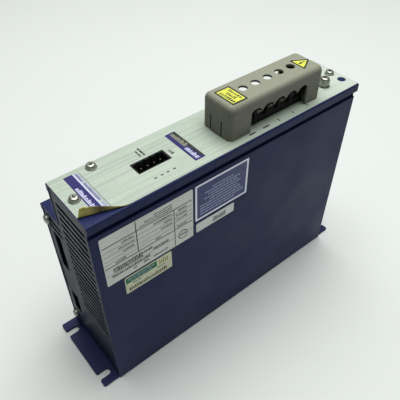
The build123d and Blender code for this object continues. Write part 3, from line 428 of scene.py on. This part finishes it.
def prism(parts, face, outline, low, high, hole=None):
    """A closed slab on a face between two heights in mm, from an outline that runs anticlockwise.
    A hole has as many points as the outline."""
    layers = [[parts.verts.new(face.at(x, y, lift)) for x, y in outline] for lift in (low, high)]
    count = len(outline)
    for index in range(count):
        after = (index + 1) % count
        parts.faces.new((layers[0][index], layers[0][after], layers[1][after], layers[1][index]))
    if hole is None:
        parts.faces.new(layers[1])
        parts.faces.new(layers[0][::-1])
        return
    inner = [[parts.verts.new(face.at(x, y, lift)) for x, y in hole] for lift in (low, high)]
    for index in range(count):
        after = (index + 1) % count
        parts.faces.new((inner[0][after], inner[0][index], inner[1][index], inner[1][after]))
        parts.faces.new((layers[1][index], layers[1][after], inner[1][after], inner[1][index]))
        parts.faces.new((layers[0][after], layers[0][index], inner[0][index], inner[0][after]))


def bar(left, low, right, high):
    """Outline of a rectangle."""
    return [(left, low), (right, low), (right, high), (left, high)]


def ring(x, y, radius, count=32):
    """Outline of a circle."""
    turns = [2 * math.pi * index / count for index in range(count)]
    return [(x + radius * math.cos(turn), y + radius * math.sin(turn)) for turn in turns]


def rounded(corners, radius, steps=5):
    """Outline of a convex polygon with rounded corners, anticlockwise."""
    points = [Vector(corner) for corner in corners]
    outline = []
    for index, corner in enumerate(points):
        before = (points[index - 1] - corner).normalized()
        after = (points[(index + 1) % len(points)] - corner).normalized()
        half = before.angle(after) / 2
        middle = corner + (before + after).normalized() * (radius / math.sin(half))
        start = corner + before * (radius / math.tan(half)) - middle
        end = corner + after * (radius / math.tan(half)) - middle
        for step in range(steps + 1):
            share = step / steps
            spoke = (start * (1 - share) + end * share).normalized() * radius
            outline.append(tuple(middle + spoke))
    return outline


def line_of_print(dice, start, end, middle, height, word=(1.6, 4.4), gap=0.7):
    """Stand-in for one line of small print: plain bars of word length, never letters."""
    outlines = []
    x = start
    while x < end - SHORTEST:
        stop = min(end, x + dice.uniform(*word))
        outlines.append(bar(x, middle - height / 2, stop, middle + height / 2))
        x = stop + gap
    return outlines


def row_of_strokes(dice, start, end, low, high, pitch=1.1):
    """Stand-in for large print along a face: plain upright strokes and blocks, never letters."""
    outlines = []
    x = start
    while x < end - SHORTEST:
        wide = pitch * dice.choice((0.45, 0.6, 0.8))
        rise = (high - low) * dice.choice((0.7, 0.85, 1.0))
        outlines.append(bar(x, low, min(end, x + wide), low + rise))
        x += wide + pitch * 0.35
    return outlines


def turned(outlines):
    """The same outlines with across and up swapped, for print that runs up the face."""
    return [[(y, x) for x, y in outline][::-1] for outline in outlines]


def border_on(name, face, wide, tall, rims, ink, body="housing"):
    """Printed border between two rims, each a distance inside the label's edge and a radius."""
    outer, inner = [
        rounded(bar(inset, inset, wide - inset, tall - inset), radius) for inset, radius in rims
    ]
    parts = bmesh.new()
    prism(parts, face, outer, -SUNK, INK, hole=inner)
    return piece(name, parts, inks[ink], body)


def ink_on(name, face, outlines, ink, layer=0, body="housing"):
    """One printed piece: each outline becomes a thin closed slab on the face."""
    parts = bmesh.new()
    for outline in outlines:
        prism(parts, face, outline, layer * INK - SUNK, (layer + 1) * INK)
    return piece(name, parts, inks[ink], body)


# ------------------------------------------------------------------ print on the front film
film_low, film_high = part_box("front_film")
panel_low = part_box("near_side_panel")[0]
film_face = Face((panel_low.x, panel_low.y, film_high.z), (1, 0, 0), (0, 1, 0))


def print_film():
    dice = random.Random(11)
    ink_on("film_title_block", film_face, [bar(10.3, 6.6, 16.5, 44.6)], "title")
    marks = turned(row_of_strokes(dice, 10.2, 32.0, 11.2, 14.1, pitch=1.3))
    ink_on("film_title_marks", film_face, marks, "mist", layer=1)
    strip = [bar(17.5, 34.3, 19.7, 43.8), bar(17.5, 13.6, 19.7, 33.1), bar(17.5, 6.5, 19.7, 12.0)]
    ink_on("film_title_strip", film_face, strip, "lavender")
    small = turned(row_of_strokes(dice, 34.8, 43.2, 17.8, 19.3, pitch=0.8))
    small += turned(row_of_strokes(dice, 14.2, 32.6, 17.8, 19.3, pitch=0.8))
    ink_on("film_title_small_print", film_face, small, "slate", layer=1)
    ink_on("film_title_rule", film_face, [bar(20.5, 4.2, 20.9, 43.8)], "slate")
    ink_on("film_title_line", film_face, [bar(16.6, 6.5, 17.4, 44.3)], "mist")
    notes = turned(line_of_print(dice, 32.3, 39.0, 60.2, 1.1, gap=0.5))
    notes += turned(line_of_print(dice, 31.9, 41.3, 63.1, 1.4, gap=0.5))
    ink_on("film_socket_notes", film_face, notes, "black")
    mark = turned(row_of_strokes(dice, 21.4, 25.8, 77.3, 80.2, pitch=1.9))
    ink_on("film_socket_mark", film_face, mark, "black")
    pins = [bar(x - 1.0, 8.2, x + 1.0, 9.3) for x in (55.4, 60.4, 65.0, 70.1)]
    ink_on("film_pin_marks", film_face, pins, "black")
    ticks = [bar(130.9, 3.3, 136.9, 4.6), bar(144.2, 3.3, 150.6, 4.6)]
    ticks += [bar(x - 0.45, 2.8, x + 0.45, 5.8) for x in (159.9, 174.9, 190.1)]
    ink_on("film_terminal_marks", film_face, ticks, "black")
    ink_on("film_badge_block", film_face, [bar(85.3, 6.0, 93.7, 40.4)], "title")
    ink_on("film_badge_shade", film_face, [bar(91.0, 8.0, 93.7, 40.4)], "black", layer=1)
    light = turned(row_of_strokes(dice, 7.6, 21.4, 87.2, 90.6, pitch=1.2))
    ink_on("film_badge_marks", film_face, light, "mist", layer=2)
    olive = turned(row_of_strokes(dice, 22.4, 38.8, 88.6, 92.6, pitch=1.5))
    ink_on("film_badge_olive_marks", film_face, olive, "olive", layer=2)


print_film()


# ------------------------------------------------------------------ print on the side stickers
def print_rating_label():
    dice = random.Random(23)
    face = near_face("rating_label")
    bold_rules = [bar(0.8, 36.1, 70.6, 36.8), bar(0.8, 16.6, 70.8, 17.3)]
    bold_rules += [bar(25.5, 17.3, 26.2, 45.0), bar(55.2, 0.6, 55.8, 36.1)]
    ink_on("rating_label_bold_rules", face, bold_rules, "black")
    rules = [bar(0.8, z - 0.15, 70.8, z + 0.15) for z in (31.9, 27.8, 23.7, 20.5, 9.2)]
    ink_on("rating_label_rules", face, rules, "grey")
    lines = (
        (39.7, 54.2, 42.3, 1.1), (32.4, 54.2, 40.3, 1.1), (28.7, 54.2, 38.4, 1.1),
        (14.7, 23.7, 33.9, 1.8), (39.2, 53.7, 33.9, 1.8), (59.2, 66.4, 33.9, 1.8),
        (12.4, 24.6, 29.8, 1.6), (47.3, 53.7, 29.8, 1.6), (57.3, 66.4, 29.8, 1.6),
        (14.7, 23.7, 25.7, 1.6), (44.6, 53.7, 25.7, 1.6), (57.3, 66.7, 25.7, 1.6),
        (8.3, 16.9, 18.8, 1.5), (39.2, 45.0, 18.8, 1.5), (57.7, 65.9, 18.8, 1.5),
    )
    small = []
    for start, end, middle, height in lines:
        low = middle - height / 2
        small += row_of_strokes(dice, start, end, low, low + height, pitch=0.8)
    ink_on("rating_label_small_print", face, small, "black", layer=1)
    bold = []
    bold_height = 2.6
    bold_lines = ((6.1, 36.5, 12.2), (6.5, 29.1, 9.8), (37.3, 50.3, 9.8), (4.6, 34.0, 5.8))
    for start, end, low in bold_lines:
        bold += row_of_strokes(dice, start, end, low, low + bold_height, pitch=1.05)
    for start, end in ((20.5, 23.4), (28.7, 33.7), (36.9, 49.5)):
        bold += row_of_strokes(dice, start, end, 2.8, 4.6, pitch=0.85)
    ink_on("rating_label_bold_print", face, bold, "black", layer=1)
    parts = bmesh.new()
    ring_x, ring_y = 62.4, 8.3
    prism(parts, face, ring(ring_x, ring_y, 4.1), -SUNK, INK, hole=ring(ring_x, ring_y, 3.4))
    prism(parts, face, bar(59.9, 7.9, 64.9, 8.7), -SUNK, INK)
    piece("rating_label_ring", parts, inks["black"], "housing")


def print_caution_label():
    dice = random.Random(31)
    face = near_face("caution_label")
    low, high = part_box("caution_label")
    wide = (high.x - low.x) / MM
    tall = (high.z - low.z) / MM
    rims = ((0.05, 0.9), (1.7, 0.5))
    border_on("caution_label_border", face, wide, tall, rims, "white")
    print_height = 1.15
    lines = (
        (15.2, 34.8, 25.6), (8.7, 41.0, 23.0), (11.6, 38.9, 20.4), (8.0, 42.0, 17.8),
        (12.8, 38.9, 15.2), (4.2, 41.4, 12.6), (4.2, 43.0, 10.0), (4.2, 45.1, 7.4),
        (4.2, 36.0, 4.8),
    )
    small = []
    for start, end, middle in lines:
        small += line_of_print(dice, start, end, middle, print_height, word=(1.6, 5.0), gap=0.5)
    ink_on("caution_label_small_print", face, small, "pale")


def print_small_stickers():
    dice = random.Random(47)
    serial = near_face("serial_sticker")
    patch = row_of_strokes(dice, 15.6, 27.9, 1.6, 6.6, pitch=0.6)
    ink_on("serial_sticker_patch", serial, patch, "grey")
    inspection = near_face("inspection_sticker")
    ink_on("inspection_sticker_block", inspection, [bar(0.7, 10.4, 26.3, 16.2)], "green")
    light = line_of_print(dice, 2.4, 24.4, 14.2, 1.3, word=(2.0, 4.0), gap=0.7)
    light += line_of_print(dice, 4.4, 22.0, 11.9, 0.9, word=(1.6, 3.2), gap=0.7)
    ink_on("inspection_sticker_light_marks", inspection, light, "lavender", layer=1)
    gold = row_of_strokes(dice, 28.4, 35.8, 10.6, 15.4, pitch=1.8)
    ink_on("inspection_sticker_gold_marks", inspection, gold, "gold")
    small = line_of_print(dice, 6.0, 12.5, 8.3, 0.9) + line_of_print(dice, 26.3, 33.5, 8.3, 0.9)
    ink_on("inspection_sticker_small_print", inspection, small, "grey")
    strokes = row_of_strokes(dice, 2.7, 34.4, 1.8, 5.6, pitch=1.35)
    for index, ink in enumerate(("black", "red", "green")):
        ink_on(f"inspection_sticker_strokes_{index + 1}", inspection, strokes[index::3], ink)


print_rating_label()
print_caution_label()
print_small_stickers()


# ------------------------------------------------------------------ labels on the terminal cover
label_thickness = 0.12      # in mm, so that sheet and ink stay within the CAD label's 0.3


def shrunk(outline, middle, share):
    """The outline drawn in towards a middle point."""
    return [
        (middle[0] + (x - middle[0]) * share, middle[1] + (y - middle[1]) * share)
        for x, y in outline
    ]


def cover_label_face(node):
    """Underside of a CAD label on the cover, and the label's size in mm."""
    low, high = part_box(node)
    return Face((low.x, low.y, low.z), (1, 0, 0), (0, 1, 0)), (high - low) / MM


def label_sheet(name, node, face, outline):
    """The visual label that takes the CAD label's place."""
    parts = bmesh.new()
    prism(parts, face, outline, 0.0, label_thickness)
    sheet = piece(name, parts, finishes["yellow_label"], "cover")
    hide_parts(node)


def on_label(face):
    """The top of a label sheet as a face to print on."""
    return Face(face.at(0, 0, label_thickness), face.across, face.up)


def build_warning_label():
    dice = random.Random(5)
    face, size = cover_label_face("cover_warning_label")
    label_sheet(
        "warning_label", "cover_warning_label", face, rounded(bar(0, 0, size.x, size.y), 0.8)
    )
    top = on_label(face)
    rims = ((0.04, 0.77), (1.35, 0.3))
    border_on("warning_label_border", top, size.x, size.y, rims, "black", body="cover")
    print_height = 2.6
    lines = []
    for start, margin, low in ((2.2, 2.4, 2.1), (5.0, 5.2, 5.6), (2.9, 3.2, 9.1)):
        end = size.y - margin
        lines += row_of_strokes(dice, start, end, low, low + print_height, pitch=1.7)
    ink_on("warning_label_print", top, turned(lines), "black", body="cover")


def build_hazard_label():
    face, size = cover_label_face("cover_hazard_label")
    corner_round = 0.8
    overrun = corner_round      # the CAD box stops at the rounded tips
    border_shares = (0.99, 0.72)
    dot_radius = 0.8
    triangle = [(0, -overrun), (size.x + overrun, size.y / 2), (0, size.y + overrun)]
    middle = (size.x * 0.345, size.y / 2)
    outline = rounded(triangle, corner_round)
    label_sheet("hazard_label", "cover_hazard_label", face, outline)
    top = on_label(face)
    parts = bmesh.new()
    outer, inner = [shrunk(outline, middle, share) for share in border_shares]
    prism(parts, top, outer, -SUNK, INK, hole=inner)
    x, y = middle
    mark = [(x - 2.3, y - 0.6), (x + 1.3, y - 1.1), (x + 1.3, y + 1.1), (x - 2.3, y + 0.6)]
    prism(parts, top, mark, -SUNK, INK)
    prism(parts, top, ring(x + 3.0, y, dot_radius, count=16), -SUNK, INK)
    piece("hazard_label_mark", parts, inks["black"], "cover")


build_warning_label()
build_hazard_label()


# ------------------------------------------------------------------ peeled corner of the film
peel_x = 30.8               # the crease joins these distances from the film's corner, in mm
peel_y = 9.7
flap_thickness = 0.30
flap_lift = 0.04            # gap between the flap's root and the film it leaves
bend_radius = 1.3           # the film leaves the panel on this radius
lean = math.radians(102)    # how far the flap has turned up from flat
sag_depth = 0.35            # waves across the free edge
least_reach = 0.12          # height of the flap at the ends of the crease
tip_worn = 1.5              # how much of the tip has torn off at the crease's start
worn_slope = 0.05           # and how much more for each mm along the crease
tears = ((1.3, 0.4, 0.55), (4.1, 2.7, 0.28))    # waves of the torn edge: rate, seed, depth
ragged_edge = 0.05          # fine raggedness of the torn edge, to each side
start_trim = 0.15           # what the flap leaves free at the two ends of the crease
end_trim = 0.25


def build_flap():
    dice = random.Random(3)
    corner = Vector((film_low.x, film_low.y, film_low.z)) / MM
    start = corner + Vector((0, peel_y, 0))
    run = Vector((peel_x, -peel_y, 0))
    length = run.length
    along = run / length
    outward = Vector((-peel_y, -peel_x, 0)).normalized()
    top = peel_x * peel_y / length
    foot = peel_y * peel_y / length
    columns = 90
    rows = 14

    def reach(distance):
        """Height of the torn flap above the crease, in mm of film."""
        if distance < foot:
            free = top * distance / foot
        else:
            free = top * (length - distance) / (length - foot)
        torn = 0.0
        for rate, seed, depth in tears:
            torn += noise.noise(Vector((distance * rate, seed, 0.0))) * depth
        worn = top - tip_worn - worn_slope * distance + torn
        return max(least_reach, min(free, worn))

    def place(distance, out, lift):
        """A point of the sheet: out mm from the crease in the film, lift mm off its underside."""
        arc = bend_radius * lean
        turn = min(out / bend_radius, lean)
        straight = max(0.0, out - arc)
        sag = sag_depth * math.sin(distance * 0.5) * (out / top) ** 2
        side = bend_radius * math.sin(turn) + straight * math.cos(lean)
        rise = bend_radius * (1 - math.cos(turn)) + straight * math.sin(lean)
        face = Vector((-math.sin(turn), math.cos(turn)))
        side += (lift + sag) * face.x
        rise += (lift + sag) * face.y
        return (start + along * distance + outward * side + Vector((0, 0, rise))) * MM

    parts = bmesh.new()
    sheets = []
    for lift in (flap_lift, flap_lift + flap_thickness):
        grid = []
        for column in range(columns + 1):
            distance = start_trim + (length - start_trim - end_trim) * column / columns
            edge = reach(distance) + dice.uniform(-ragged_edge, ragged_edge)
            points = [place(distance, edge * row / rows, lift) for row in range(rows + 1)]
            grid.append([parts.verts.new(point) for point in points])
        sheets.append(grid)
    for side, grid in enumerate(sheets):
        for column in range(columns):
            here, beside = grid[column], grid[column + 1]
            for row in range(rows):
                quad = [here[row], beside[row], beside[row + 1], here[row + 1]]
                parts.faces.new(quad if side else quad[::-1])
    under, over = sheets
    for column in range(columns):
        after = column + 1
        for row in (0, rows):
            low, high = under[column][row], over[column][row]
            parts.faces.new((low, under[after][row], over[after][row], high))
    for row in range(rows):
        after = row + 1
        for column in (0, columns):
            low, high = under[column][row], over[column][row]
            parts.faces.new((low, under[column][after], over[column][after], high))
    bmesh.ops.recalc_face_normals(parts, faces=parts.faces[:])
    flap = piece("peeled_film_corner", parts, finishes["film_back"], "housing")
    flap.data.materials.append(finishes["front_film"].material)     # the printed side
    for polygon in flap.data.polygons:
        polygon.use_smooth = True
        if columns * rows <= polygon.index < 2 * columns * rows:
            polygon.material_index = 1
    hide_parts("lifted_corner")


build_flap()


# ------------------------------------------------------------------ floor, light and camera
def build_floor():
    reach = 12.0        # half the floor's width, in metres
    gap = 0.0002        # between the floor and the mounting face
    parts = bmesh.new()
    bmesh.ops.create_grid(parts, x_segments=8, y_segments=8, size=reach)
    mesh = bpy.data.meshes.new("floor")
    parts.to_mesh(mesh)
    parts.free()
    floor = bpy.data.objects.new("floor", mesh)
    floor.location.z = cad_low.z - gap
    bpy.context.scene.collection.objects.link(floor)
    finish = Finish("floor", (0.61, 0.635, 0.625), 0.8)
    finish.tint(finish.cloud(0.25, 0.35, 0.7, 0.2, detail=3.0), (0.575, 0.60, 0.59))
    finish.tint(finish.cloud(0.004, 0.68, 0.8, 0.12, detail=2.0), (0.53, 0.55, 0.54))
    dress(floor, finish)


def area_light(name, place, size, power, colour):
    """Soft rectangular light, power in watts, turned towards the drive."""
    target = Vector((0.0, 0.0, 0.1))
    light = bpy.data.lights.new(name, "AREA")
    light.shape = "RECTANGLE"
    light.size, light.size_y = size
    light.energy = power
    light.color = colour
    lamp = bpy.data.objects.new(name, light)
    lamp.location = place
    lamp.rotation_euler = (target - Vector(place)).to_track_quat("-Z", "Y").to_euler()
    lamp.visible_camera = False
    bpy.context.scene.collection.objects.link(lamp)


def build_light():
    world = bpy.data.worlds.new("studio")
    bpy.context.scene.world = world
    world.use_nodes = True
    sky = world.node_tree.nodes["Background"]
    sky.inputs["Color"].default_value = (0.84, 0.90, 0.90, 1.0)
    sky.inputs["Strength"].default_value = 0.24
    area_light("key_light", (0.22, 0.22, 1.6), (1.3, 1.3), 35.0, (1.0, 1.0, 0.97))
    area_light("front_light", (0.35, -0.50, 1.8), (0.9, 0.7), 4.0, (0.97, 1.0, 1.0))


def build_camera():
    place = Vector((-0.19059, -0.22064, 0.38446))
    target = Vector((0.0020, 0.0132, 0.0900))
    tilt = math.radians(0.16)
    data = bpy.data.cameras.new("camera")
    data.lens = 44.03
    data.sensor_width = 36.0
    data.clip_start = 0.01
    camera = bpy.data.objects.new("camera", data)
    turn = (target - place).to_track_quat("-Z", "Y").to_matrix().to_4x4()
    roll = Matrix.Rotation(tilt, 4, "Z")
    camera.matrix_world = Matrix.Translation(place) @ turn @ roll
    bpy.context.scene.collection.objects.link(camera)
    bpy.context.scene.camera = camera


build_floor()
build_light()
build_camera()
bpy.context.scene.view_settings.view_transform = "Standard"
